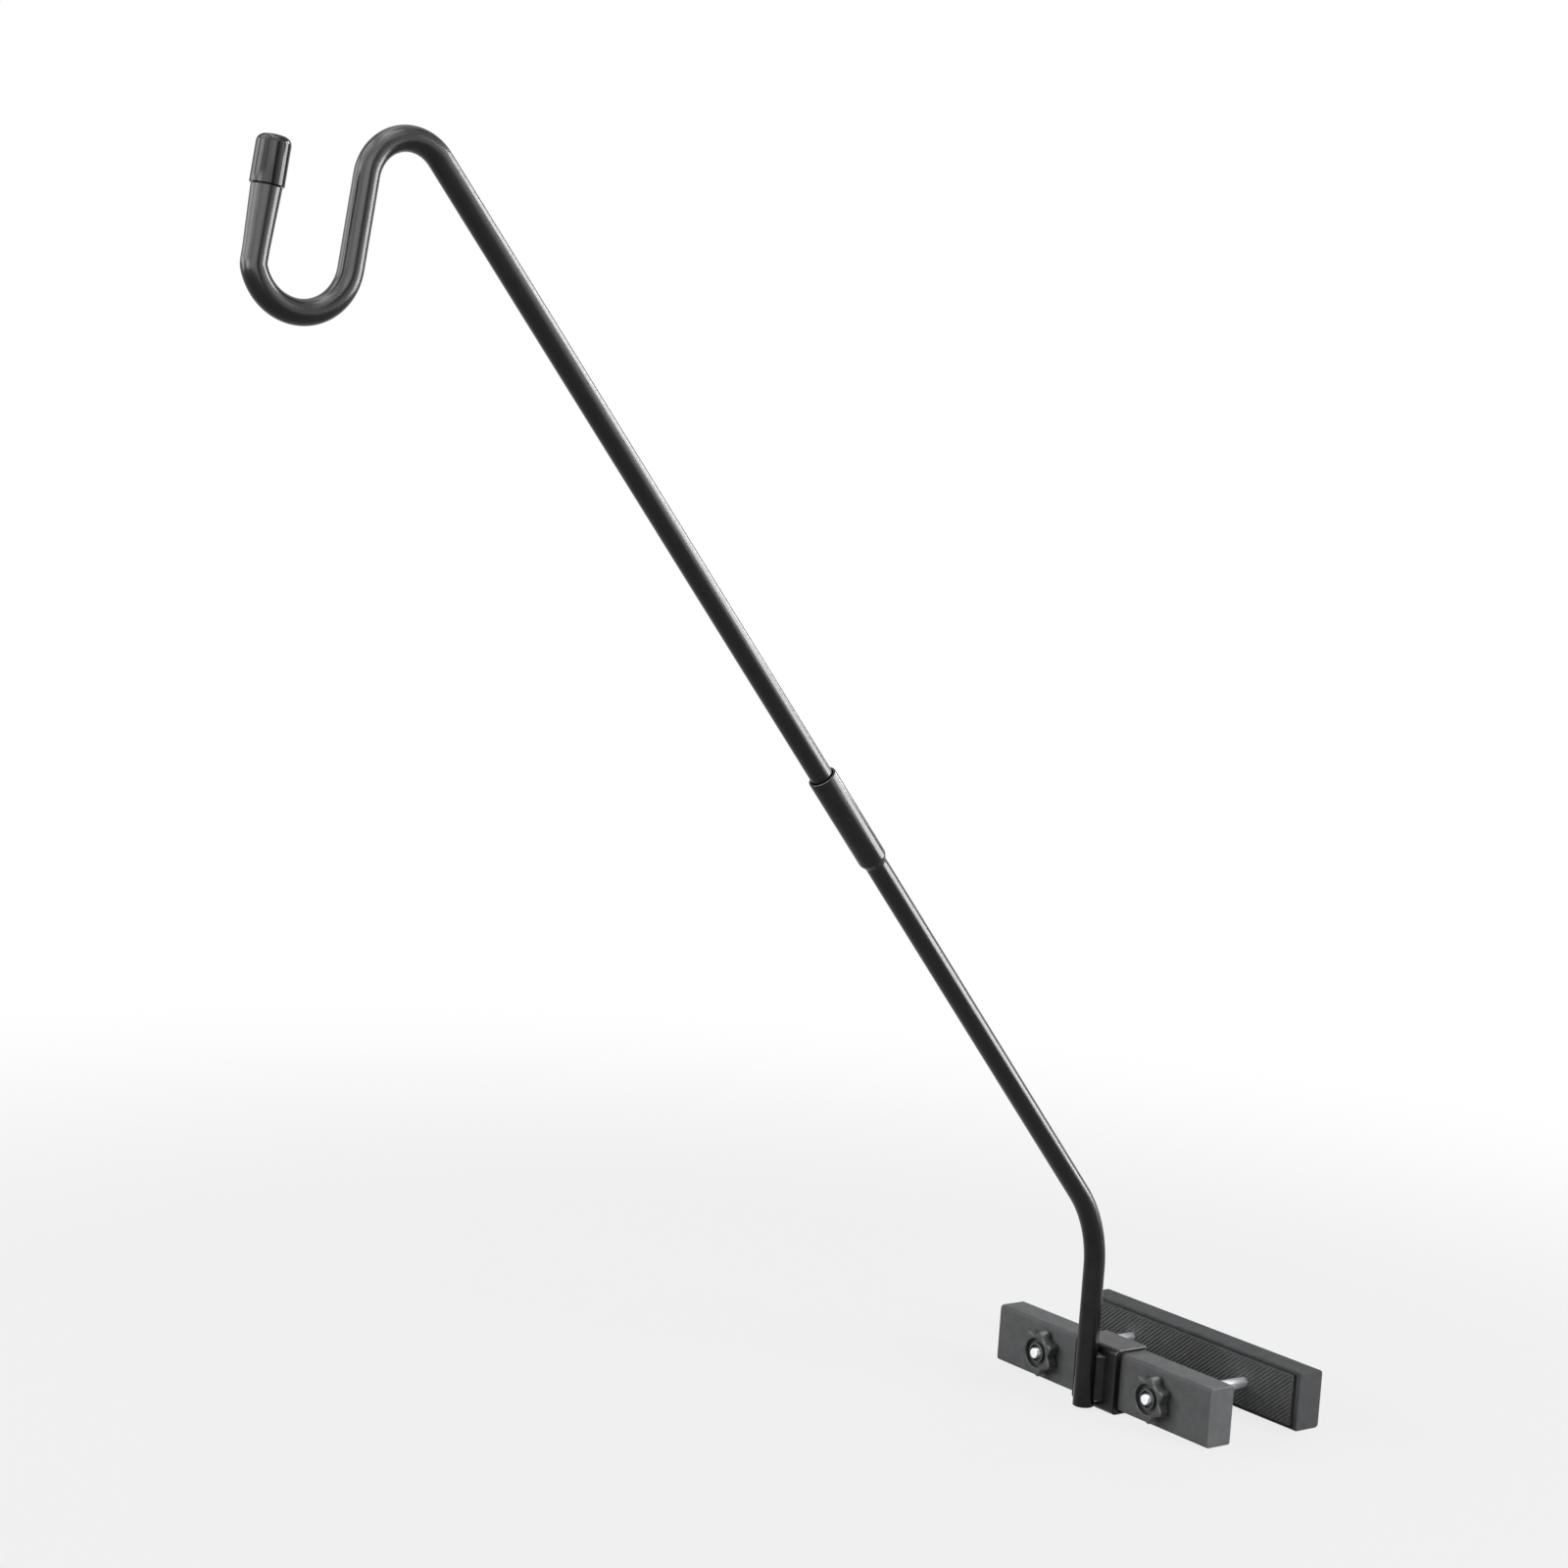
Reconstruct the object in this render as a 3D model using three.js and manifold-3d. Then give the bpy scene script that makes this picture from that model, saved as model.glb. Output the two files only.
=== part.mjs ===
// Fence hook: a two-part tube pole that ends in a hanging hook, on a clamp with two padded jaws.
// Sizes are in millimetres and angles in degrees. X runs along the jaws, +Y goes from the front
// jaw to the rear jaw, and +Z is up. The origin is the centre of the front pad's clamping face.
import * as THREE from "three";
import { mergeVertices } from "three/addons/utils/BufferGeometryUtils.js";
import Module from "manifold-3d";

// Clearances and cuts
const seatGap = 0.2; // between a piece and what it is seated in or rests on
const turnGap = 0.3; // round a shank or tube that turns or slides in its hole
const cutOverrun = 1.5; // how far a cut runs past the face that it starts from

// Jaw bars
const barLength = 175;
const barHeight = 33;
const barDepth = 18;
const barEdgeRadius = 2.2;
const lipEdgeRadius = 1.1;
const barEndBevel = 0.5;
const lipWall = 1.3;
const lipEndWall = 2.6;
const recessDepth = 4;
const barSkin = 2.8; // the outer wall in front of the hollow bays
const bayWall = 3;
const bayRib = 2.4;
const bayLength = 26; // the longest hollow bay, longer ones are split by a rib
const boltBossRadius = 9;
const centreBossLength = 34;

// Jaw pads
const padGroove = 0.9; // open groove above and below the pad
const padEndGroove = 1.6;
const padProud = 1.2; // how far the pad stands out of its bar
const padBevel = 0.4;
const padHoleGap = 0.8; // round the bolt

// Clamp bolts: round heads on square necks, held from turning by the rear bar
const jawOpening = 48.2; // between the two pads with the clamp wide open
const boltSpacing = 92.5;
const boltRadius = 3;
const boltHeadRadius = 6.7;
const boltHeadHeight = 3.2;
const boltNeckSide = 6;
const boltNeckLength = 3.6;
const boltEndProud = 1.3; // past the face of the knob
const boltEndBevel = 0.5;

// Star knobs with threaded inserts, and the washers under them
const washerRadius = 7.5;
const washerThickness = 1;
const knobLobes = 7;
const knobLobeRadius = 13.5;
const knobValleyRadius = 10.4;
const knobLobePower = 1.3; // above 1 the lobes are narrower than the hollows between them
const knobHeight = 6.2;
const knobEdgeBevel = 0.8;
const knobCupRadius = 8.5;
const knobCupDepth = 3.2;
const knobHubRadius = 5.7;
const knobHubSetback = 0.4;
const insertRadius = 4.6;
const insertSetback = 1.2; // below the face of the hub
const insertHeight = 4;

// Saddle: a C bracket round the front bar, with two screws from behind the pad
const saddleWidth = 34;
const saddleWeb = 4.2;
const saddleFlange = 2;
const saddleReach = 0.6; // past the back of the bar, short of the pad's face
const saddleBend = 3.2;
const saddleBevel = 0.6;
const saddleScrewSpacing = 21;
const saddleScrewRadius = 2;
const saddleScrewHeadRadius = 3.8;
const saddleScrewHeadHeight = 2.1;
const saddleScrewTip = 0.8; // metal left in the web in front of the screw

// Pole: its foot, its lean, the crest and the hook, as a bending schedule
const poleRadius = 6;
const poleWall = 1.5;
const footSetback = 2.2; // from the saddle's lower face
const footRun = 79.3;
const leanAngle = 40.4;
const leanRadius = 69;
const socketStart = 246; // along the slope, from the end of the lean bend
const slopeRun = 675.9;
const crestTurn = 132.2;
const crestRadius = 20.9;
const legRun = 42;
const hookTurn = 155.8;
const hookRadius = 24.1;
const hookEndTurn = 24.3; // a short tight bend straightens the tip
const hookEndRadius = 8;
const tipRun = 53.5;
const tipFlareRadius = 7; // the tube widens up to the cap's rim
const tipFlareLength = 27;

// Socket: the widened end of the lower pole that holds the upper pole
const socketRadius = 7.6;
const socketLength = 60.3;
const socketTaper = 5;
const socketMouthBevel = 0.5;
const upperPoleStop = 10.3; // from the socket's lower end up to the end of the upper pole

// Tip cap
const capRadius = 7.8;
const capLength = 22.3;
const capShoulder = 3.6;
const capCrown = 0.5; // rise of the cap's top inside its shoulder
const capTop = 1.5;

// Weld beads between the foot and the saddle
const weldToe = 2.6; // out from the side of the foot along the saddle
const weldStartAngle = 24; // from the line where foot and saddle meet
const weldEndAngle = 68;
const weldBulge = 0.7;
const weldEndSetback = 4.2; // from the saddle's top and bottom

// Facets
const poleSides = 24;
const boltSides = 20;
const discSides = 32;
const bendStep = 12; // degrees of a bend in one facet
const cornerSteps = 4;
const lobeSteps = 10;

// Places that follow from these sizes
const frontBarBack = -padProud;
const frontBarFace = frontBarBack - barDepth;
const rearBarFace = jawOpening + padProud;
const saddleFace = frontBarFace - seatGap - saddleWeb;
const saddleBottom = -(barHeight / 2 + seatGap + saddleFlange);
const poleY = saddleFace - seatGap - poleRadius;
const footBottom = saddleBottom + footSetback;
const upperPoleDepth = socketLength - upperPoleStop;
const knobBack = frontBarFace - 2 * seatGap - washerThickness;
const knobFace = knobBack - knobHeight;
const boltEnd = knobFace - boltEndProud;
const boltX = boltSpacing / 2;

const wasm = await Module();
wasm.setup();

const X = new THREE.Vector3(1, 0, 0);
const Y = new THREE.Vector3(0, 1, 0);
const Z = new THREE.Vector3(0, 0, 1);
const radians = THREE.MathUtils.degToRad;

// A closed geometry as a solid that can be joined and cut
function solid(geometry) {
  const bare = geometry.index ? geometry.toNonIndexed() : geometry.clone();
  bare.deleteAttribute("normal");
  bare.deleteAttribute("uv");
  const merged = mergeVertices(bare);
  return new wasm.Manifold(
    new wasm.Mesh({
      numProp: 3,
      vertProperties: merged.attributes.position.array,
      triVerts: new Uint32Array(merged.index.array),
    }),
  );
}

// The geometry of a solid, with a flat normal on every facet
function geometryOf(made) {
  const mesh = made.getMesh();
  const indexed = new THREE.BufferGeometry();
  indexed.setAttribute("position", new THREE.BufferAttribute(mesh.vertProperties, 3));
  indexed.setIndex(new THREE.BufferAttribute(mesh.triVerts, 1));
  const geometry = indexed.toNonIndexed();
  geometry.computeVertexNormals();
  return geometry;
}

// A block between two corners, each [x, y, z]
function block(low, high) {
  const size = high.map((value, axis) => value - low[axis]);
  const centre = high.map((value, axis) => (value + low[axis]) / 2);
  return solid(new THREE.BoxGeometry(...size).translate(...centre));
}

// A round rod along Y from one place to another
function rod(radius, from, to, x, sides) {
  const length = to - from;
  const geometry = new THREE.CylinderGeometry(radius, radius, length, sides);
  return solid(geometry.translate(x, from + length / 2, 0));
}

// A solid of revolution round Y, from points [radius, y] that start and end on the axis or close
function turned(points, x, sides) {
  const profile = points.map(([radius, y]) => new THREE.Vector2(radius, y));
  return solid(new THREE.LatheGeometry(profile, sides).translate(x, 0, 0));
}

// An outline extruded by a length, its end edges bevelled inside that length
function extruded(outline, length, bevel, axes) {
  const geometry = new THREE.ExtrudeGeometry(outline, {
    depth: length - 2 * bevel,
    bevelEnabled: bevel > 0,
    bevelThickness: bevel,
    bevelSize: bevel,
    bevelOffset: -bevel,
    bevelSegments: 1,
    curveSegments: cornerSteps / 2, // an arc gets twice as many
  });
  return solid(geometry.translate(0, 0, bevel).applyMatrix4(new THREE.Matrix4().makeBasis(...axes)));
}

// An outline in (y, z) that runs along x, centred on x = 0
function alongX(outline, length, bevel) {
  return extruded(outline, length, bevel, [Y, Z, X]).translate([-length / 2, 0, 0]);
}

// A bar's outline in (y, z), its lip in y = 0
function barOutline() {
  const corners = [
    [barDepth - barEdgeRadius, -1, barEdgeRadius],
    [barDepth - barEdgeRadius, 1, barEdgeRadius],
    [lipEdgeRadius, 1, lipEdgeRadius],
    [lipEdgeRadius, -1, lipEdgeRadius],
  ];
  const shape = new THREE.Shape();
  corners.forEach(([y, side, radius], i) => {
    const start = ((i - 1) * Math.PI) / 2;
    shape.absarc(y, side * (barHeight / 2 - radius), radius, start, start + Math.PI / 2);
  });
  return shape.closePath();
}

// Joins or cuts a list of solids
const joined = (solids) => solids.reduce((all, one) => all.add(one));
const without = (body, cuts) => cuts.reduce((left, cut) => left.subtract(cut), body);

// The hollow bays of a bar on one side of its centre, as [near, far] distances from the centre
function bays() {
  const stretches = [
    [centreBossLength / 2, boltX - boltBossRadius],
    [boltX + boltBossRadius, barLength / 2 - bayWall],
  ];
  return stretches.flatMap(([near, far]) => {
    const count = Math.ceil((far - near) / bayLength);
    const pitch = (far - near + bayRib) / count;
    return Array.from({ length: count }, (_, i) => [
      near + i * pitch,
      near + (i + 1) * pitch - bayRib,
    ]);
  });
}

// A bar with its pad recess and hollow bays. The lip round the recess lies in y = 0, facing -Y.
function barBody() {
  const halfHeight = barHeight / 2;
  const recessX = barLength / 2 - lipEndWall;
  const recessZ = halfHeight - lipWall;
  const recess = block([-recessX, -cutOverrun, -recessZ], [recessX, recessDepth, recessZ]);
  const bayZ = halfHeight - bayWall;
  const cuts = bays().flatMap(([near, far]) => [
    block([near, 0, -bayZ], [far, barDepth - barSkin, bayZ]),
    block([-far, 0, -bayZ], [-near, barDepth - barSkin, bayZ]),
  ]);
  return without(alongX(barOutline(), barLength, barEndBevel), [recess, ...cuts]);
}

// The front bar is turned round, so its screw holes run from its recess towards the saddle
function frontBar() {
  const holeRadius = boltRadius + turnGap;
  const screwHole = saddleScrewRadius + turnGap;
  const headHole = saddleScrewHeadRadius + turnGap;
  const cuts = [-1, 1].flatMap((side) => [
    rod(holeRadius, -cutOverrun, barDepth + cutOverrun, side * boltX, boltSides),
    turned(
      [
        [0, recessDepth - cutOverrun],
        [headHole, recessDepth - cutOverrun],
        [headHole, recessDepth],
        [screwHole, recessDepth + saddleScrewHeadHeight],
        [screwHole, barDepth + cutOverrun],
        [0, barDepth + cutOverrun],
      ],
      (side * saddleScrewSpacing) / 2,
      boltSides,
    ),
  ]);
  return without(barBody(), cuts);
}

// The rear bar holds each bolt's head in a round seat and its neck in a square hole
function rearBar() {
  const headSeat = boltHeadRadius + turnGap;
  const seatFloor = barDepth - boltHeadHeight;
  const neckHole = boltNeckSide / 2 + seatGap;
  const neckEnd = seatFloor - boltNeckLength - seatGap;
  const cuts = [-boltX, boltX].flatMap((x) => [
    rod(boltRadius + turnGap, -cutOverrun, barDepth, x, boltSides),
    rod(headSeat, seatFloor, barDepth + cutOverrun, x, discSides),
    block([x - neckHole, neckEnd, -neckHole], [x + neckHole, barDepth, neckHole]),
  ]);
  return without(barBody(), cuts);
}

// A pad in its recess, with a hole round each bolt. Its clamping face lies in y = -padProud.
function pad() {
  const padX = barLength / 2 - lipEndWall - padEndGroove;
  const padZ = barHeight / 2 - lipWall - padGroove;
  const thickness = padProud + recessDepth - seatGap;
  const shape = new THREE.Shape();
  shape.moveTo(-padX, -padZ).lineTo(padX, -padZ).lineTo(padX, padZ).lineTo(-padX, padZ);
  const slab = extruded(shape, thickness, padBevel, [X, Z, Y.clone().negate()]);
  const holeRadius = boltRadius + padHoleGap;
  const holes = [-boltX, boltX].map((x) =>
    rod(holeRadius, -padProud - cutOverrun, recessDepth + cutOverrun, x, discSides),
  );
  return without(slab.translate([0, recessDepth - seatGap, 0]), holes);
}

// A clamp bolt from its domed head to its bevelled end, seen from the rear bar's lip
function bolt() {
  const length = rearBarFace - boltEnd;
  const headBack = barDepth - boltHeadHeight + seatGap;
  const neck = boltNeckSide / 2;
  const dome = Array.from({ length: cornerSteps }, (_, i) => {
    const angle = radians((90 * i) / cornerSteps);
    const rise = (boltHeadHeight - seatGap) * Math.sin(angle);
    return [boltHeadRadius * Math.cos(angle), headBack + rise];
  });
  const shank = turned(
    [
      [0, -length],
      [boltRadius - boltEndBevel, -length],
      [boltRadius, -length + boltEndBevel],
      [boltRadius, headBack],
      ...dome,
      [0, barDepth],
    ],
    0,
    boltSides,
  );
  return shank.add(block([-neck, headBack - boltNeckLength, -neck], [neck, headBack, neck]));
}

// The lobed outline of a knob in (x, z), with a hollow on the +X side
function knobOutline() {
  const points = Array.from({ length: knobLobes * lobeSteps }, (_, i) => {
    const turn = (2 * Math.PI * i) / (knobLobes * lobeSteps);
    const lobe = (1 - Math.cos(knobLobes * turn)) / 2;
    const radius = knobValleyRadius + (knobLobeRadius - knobValleyRadius) * lobe ** knobLobePower;
    return new THREE.Vector2(radius * Math.cos(turn), radius * Math.sin(turn));
  });
  return new THREE.Shape(points);
}

// A knob round y, from its back at y = 0 to its face at y = -knobHeight
function knob() {
  const body = extruded(knobOutline(), knobHeight, knobEdgeBevel, [X, Z, Y.clone().negate()]);
  const cupFloor = -knobHeight + knobCupDepth;
  const cup = rod(knobCupRadius, -knobHeight - cutOverrun, cupFloor, 0, discSides);
  const hub = rod(knobHubRadius, -knobHeight + knobHubSetback, cupFloor + cutOverrun, 0, discSides);
  const shank = rod(boltRadius + turnGap, -knobHeight - cutOverrun, cutOverrun, 0, boltSides);
  const pocket = rod(
    insertRadius + seatGap,
    -knobHeight - cutOverrun,
    insertFloor() + seatGap,
    0,
    discSides,
  );
  return without(body.subtract(cup).add(hub), [shank, pocket]);
}

// Where the threaded insert ends inside its knob
function insertFloor() {
  return -knobHeight + knobHubSetback + insertSetback + insertHeight;
}

// A ring round y between two places
function ring(outer, inner, from, to, sides) {
  return turned(
    [
      [inner, from],
      [outer, from],
      [outer, to],
      [inner, to],
      [inner, from],
    ],
    0,
    sides,
  );
}

// A flat washer round y, on the front bar's face
function washerRing() {
  const back = frontBarFace - seatGap;
  return ring(washerRadius, boltRadius + turnGap, back - washerThickness, back, discSides);
}

// The threaded insert round y, from its knob's back at y = 0
function insertRing() {
  const floor = insertFloor();
  return ring(insertRadius, boltRadius + turnGap, floor - insertHeight, floor, discSides);
}

// The saddle's outline in (y, z): web in front, a flange above and one below the bar
function saddleOutline() {
  const inner = barHeight / 2 + seatGap;
  const outer = inner + saddleFlange;
  const back = frontBarBack + saddleReach;
  const quarter = Math.PI / 2;
  const shape = new THREE.Shape();
  shape.moveTo(back, -outer).lineTo(back, -inner).lineTo(frontBarFace - seatGap, -inner);
  shape.lineTo(frontBarFace - seatGap, inner).lineTo(back, inner).lineTo(back, outer);
  const bendY = saddleFace + saddleBend;
  shape.absarc(bendY, outer - saddleBend, saddleBend, quarter, 2 * quarter);
  shape.absarc(bendY, saddleBend - outer, saddleBend, 2 * quarter, 3 * quarter);
  return shape;
}

function saddle() {
  const holes = [-1, 1].map((side) =>
    rod(
      saddleScrewRadius + turnGap,
      saddleFace + saddleScrewTip,
      frontBarFace,
      (side * saddleScrewSpacing) / 2,
      boltSides,
    ),
  );
  return without(alongX(saddleOutline(), saddleWidth, saddleBevel), holes);
}

// A countersunk screw round y, from its head in the bar's recess to its tip in the saddle
function saddleScrew() {
  const head = frontBarBack - recessDepth - seatGap;
  const tip = saddleFace + saddleScrewTip + seatGap;
  return turned(
    [
      [0, tip],
      [saddleScrewRadius, tip],
      [saddleScrewRadius, head - saddleScrewHeadHeight],
      [saddleScrewHeadRadius, head],
      [0, head],
    ],
    0,
    boltSides,
  );
}

// A centreline in the plane x = 0, made of straight runs and bends that follow one another.
// A station stands at each end of a run and at even steps round a bend.
class BentLine extends THREE.Curve {
  constructor(y, z, heading, runs) {
    super();
    const place = new THREE.Vector3(0, y, z);
    let angle = radians(heading);
    const facing = () => new THREE.Vector3(0, Math.cos(angle), Math.sin(angle));
    this.stations = [{ point: place.clone(), tangent: facing() }];
    for (const { length = 0, turn = 0, radius = 0 } of runs) {
      const steps = turn ? Math.ceil(Math.abs(turn) / bendStep) : 1;
      const half = radians(turn) / steps / 2;
      const stride = turn ? 2 * radius * Math.sin(Math.abs(half)) : length;
      for (let i = 0; i < steps; i++) {
        angle += half;
        place.addScaledVector(facing(), stride);
        angle += half;
        this.stations.push({ point: place.clone(), tangent: facing() });
      }
    }
  }
  station(share) {
    return this.stations[Math.round(share * (this.stations.length - 1))];
  }
  getPointAt(share) {
    return this.station(share).point.clone();
  }
  getTangentAt(share) {
    return this.station(share).tangent.clone();
  }
  get end() {
    return this.stations.at(-1);
  }
}

// A round section swept along a centreline, hollow where an inner radius is given
function swept(line, outer, inner) {
  const section = new THREE.Shape().absarc(0, 0, outer, 0, 2 * Math.PI);
  if (inner) section.holes.push(new THREE.Path().absarc(0, 0, inner, 0, 2 * Math.PI, true));
  return solid(
    new THREE.ExtrudeGeometry(section, {
      steps: line.stations.length - 1,
      curveSegments: poleSides / 2, // a circle gets twice as many
      extrudePath: line,
    }),
  );
}

// The lower pole's centreline up to a distance along the slope
function lowerLine(slopeLength) {
  return new BentLine(poleY, footBottom, 90, [
    { length: footRun },
    { turn: leanAngle, radius: leanRadius },
    { length: slopeLength },
  ]);
}

const slopeHeading = 90 + leanAngle;
const slopeDirection = Y.clone().applyAxisAngle(X, radians(slopeHeading));
const mouth = lowerLine(socketStart + socketLength).end.point;

// A solid of revolution whose y axis starts at a point and runs in a direction
function turnedAt(point, direction, points) {
  const turn = new THREE.Quaternion().setFromUnitVectors(Y, direction);
  const place = new THREE.Matrix4().compose(point, turn, new THREE.Vector3(1, 1, 1));
  const profile = points.map(([radius, y]) => new THREE.Vector2(radius, y));
  return solid(new THREE.LatheGeometry(profile, poleSides).applyMatrix4(place));
}

// The lower pole: a tube whose upper end is widened to a socket
function lowerPole() {
  const bore = poleRadius - poleWall;
  const socketBore = poleRadius + turnGap;
  const shoulder = -upperPoleDepth - seatGap;
  const outside = turnedAt(mouth, slopeDirection, [
    [0, -socketLength],
    [bore, -socketLength],
    [socketRadius, socketTaper - socketLength],
    [socketRadius, -socketMouthBevel],
    [socketRadius - socketMouthBevel, 0],
    [0, 0],
  ]);
  const inside = turnedAt(mouth, slopeDirection, [
    [0, shoulder - socketTaper],
    [bore - seatGap, shoulder - socketTaper],
    [socketBore, shoulder],
    [socketBore, cutOverrun],
    [0, cutOverrun],
  ]);
  const wall = swept(lowerLine(socketStart + socketTaper), poleRadius);
  return without(joined([wall, outside]), [inside, lowerBore(bore)]);
}

// The lower pole's bore, open at the foot and running up into the socket
function lowerBore(radius) {
  const line = new BentLine(poleY, footBottom - cutOverrun, 90, [
    { length: footRun + cutOverrun },
    { turn: leanAngle, radius: leanRadius },
    { length: socketStart + socketLength - upperPoleDepth },
  ]);
  return swept(line, radius);
}

const upperStart = mouth.clone().addScaledVector(slopeDirection, -upperPoleDepth);
const upperRun = slopeRun - socketStart - socketLength + upperPoleDepth;
const upperLine = new BentLine(upperStart.y, upperStart.z, slopeHeading, [
  { length: upperRun },
  { turn: crestTurn, radius: crestRadius },
  { length: legRun },
  { turn: -hookTurn, radius: hookRadius },
  { turn: -hookEndTurn, radius: hookEndRadius },
  { length: tipRun },
]);

// The upper pole: a tube whose tip is flared up to the cap
function upperPole() {
  const tube = swept(upperLine, poleRadius, poleRadius - poleWall);
  const { point, tangent } = upperLine.end;
  const wallMiddle = poleRadius - poleWall / 2;
  const top = capTop - capLength;
  const start = top - tipFlareLength;
  const flare = turnedAt(point, tangent, [
    [wallMiddle, start],
    [poleRadius - seatGap, start],
    [tipFlareRadius, top],
    [wallMiddle, top],
    [wallMiddle, start],
  ]);
  return tube.add(flare);
}

// The cap in its own frame: its mouth below, the tube's end at y = 0
function tipCap() {
  const top = seatGap + capTop;
  const bottom = top - capLength;
  const shoulder = Array.from({ length: cornerSteps + 1 }, (_, i) => {
    const angle = radians((90 * i) / cornerSteps);
    const radius = capRadius - capShoulder * (1 - Math.cos(angle));
    return [radius, top - capCrown - capShoulder * (1 - Math.sin(angle))];
  });
  const bore = poleRadius + turnGap;
  return turned(
    [
      [0, seatGap],
      [bore, seatGap],
      [bore, bottom],
      [capRadius, bottom],
      ...shoulder,
      [0, top],
    ],
    0,
    poleSides,
  );
}

// The weld bead on the +X side of the foot: an outline in (x, y), extruded upwards
function weldBead() {
  const toeY = saddleFace - seatGap;
  const reach = poleRadius + seatGap;
  const start = radians(90 - weldStartAngle);
  const end = radians(90 - weldEndAngle);
  const tip = new THREE.Vector2(reach * Math.cos(end), poleY + reach * Math.sin(end));
  const toe = new THREE.Vector2(poleRadius + weldToe, toeY);
  const bulge = tip.clone().add(toe).divideScalar(2);
  bulge.add(new THREE.Vector2(weldBulge, -weldBulge));
  const shape = new THREE.Shape();
  shape.absarc(0, poleY, reach, start, end, true);
  shape.quadraticCurveTo(bulge.x, bulge.y, toe.x, toe.y);
  shape.lineTo(reach * Math.cos(start), toeY);
  const height = -2 * (saddleBottom + weldEndSetback);
  return extruded(shape, height, 0, [X, Y, Z]).translate([0, 0, -height / 2]);
}

// Materials
const finishes = {
  poleCoat: { color: "#2b2c2d", roughness: 0.38, metalness: 0.3 },
  barShell: { color: "#4b4c4e", roughness: 0.62, metalness: 0 },
  padRubber: { color: "#333435", roughness: 0.85, metalness: 0 },
  knobPlastic: { color: "#3c3d3e", roughness: 0.5, metalness: 0 },
  capPlastic: { color: "#262627", roughness: 0.28, metalness: 0 },
  zinc: { color: "#c9ccd0", roughness: 0.25, metalness: 1 },
  darkSteel: { color: "#59595b", roughness: 0.45, metalness: 1 },
};
const materials = Object.fromEntries(
  Object.entries(finishes).map(([name, finish]) => [name, new THREE.MeshStandardMaterial(finish)]),
);

function piece(name, made, material) {
  const mesh = new THREE.Mesh(geometryOf(made), materials[material]);
  mesh.name = name;
  return mesh;
}

const sides = [
  { name: "left", x: -boltX, mirror: -1 },
  { name: "right", x: boltX, mirror: 1 },
];

// Front jaw: the bar and pad are turned round to face the rear jaw
const frontJaw = new THREE.Group();
const frontHalf = new THREE.Group();
frontHalf.rotation.z = Math.PI;
frontHalf.position.y = frontBarBack;
frontHalf.add(piece("front_bar", frontBar(), "barShell"));
frontHalf.add(piece("front_pad", pad(), "padRubber"));
frontJaw.add(frontHalf);
frontJaw.add(piece("saddle", saddle(), "poleCoat"));
frontJaw.add(piece("lower_pole", lowerPole(), "poleCoat"));
for (const { name, x, mirror } of sides) {
  const screw = piece(`${name}_saddle_screw`, saddleScrew(), "zinc");
  screw.position.x = (mirror * saddleScrewSpacing) / 2;
  const bead = piece(`${name}_weld_bead`, weldBead(), "poleCoat");
  bead.scale.x = mirror;
  const washer = piece(`${name}_washer`, washerRing(), "zinc");
  washer.position.x = x;
  frontJaw.add(screw, bead, washer);
}

// Rear jaw: the bar, its pad and the two bolts slide together
const rearJaw = new THREE.Group();
rearJaw.position.y = rearBarFace;
rearJaw.add(piece("rear_bar", rearBar(), "barShell"));
rearJaw.add(piece("rear_pad", pad(), "padRubber"));
for (const { name, x } of sides) {
  const boltPiece = piece(`${name}_bolt`, bolt(), "zinc");
  boltPiece.position.x = x;
  rearJaw.add(boltPiece);
}

// Knobs, each with its threaded insert
const knobs = sides.map(({ name, x }) => {
  const group = new THREE.Group();
  group.position.set(x, knobBack, 0);
  group.add(piece(`${name}_knob`, knob(), "knobPlastic"));
  group.add(piece(`${name}_insert`, insertRing(), "darkSteel"));
  return group;
});

// Hook: the upper pole with the cap on its tip
const hook = new THREE.Group();
hook.add(piece("upper_pole", upperPole(), "poleCoat"));
const cap = piece("tip_cap", tipCap(), "capPlastic");
cap.position.copy(upperLine.end.point);
cap.quaternion.setFromUnitVectors(Y, upperLine.end.tangent);
hook.add(cap);

const fenceHook = new THREE.Group();
fenceHook.add(frontJaw, rearJaw, ...knobs, hook);

export default fenceHook;
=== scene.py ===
"""The finished look of the fence hook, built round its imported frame.

Metres, in the frame's own axes: X along the jaws, +Y from the front jaw to the rear jaw, +Z up.
The origin is the centre of the front pad's clamping face.
"""

import math

import bmesh
import bpy
import numpy as np
from mathutils import Matrix, Vector


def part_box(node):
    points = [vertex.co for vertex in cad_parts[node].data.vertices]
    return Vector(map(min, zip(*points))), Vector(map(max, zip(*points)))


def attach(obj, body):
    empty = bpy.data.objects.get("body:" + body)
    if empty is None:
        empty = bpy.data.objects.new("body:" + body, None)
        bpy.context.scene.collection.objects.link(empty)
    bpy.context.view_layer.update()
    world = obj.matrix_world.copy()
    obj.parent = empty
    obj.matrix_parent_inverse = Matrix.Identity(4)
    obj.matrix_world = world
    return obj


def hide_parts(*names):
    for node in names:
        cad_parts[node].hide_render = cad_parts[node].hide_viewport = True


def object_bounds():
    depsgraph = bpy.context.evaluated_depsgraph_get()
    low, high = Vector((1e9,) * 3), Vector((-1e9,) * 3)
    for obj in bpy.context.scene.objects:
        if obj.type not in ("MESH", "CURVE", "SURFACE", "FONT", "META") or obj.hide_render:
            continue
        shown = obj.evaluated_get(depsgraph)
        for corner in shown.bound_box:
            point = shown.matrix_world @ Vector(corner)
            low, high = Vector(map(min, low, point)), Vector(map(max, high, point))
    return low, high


MM = 0.001

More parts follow.
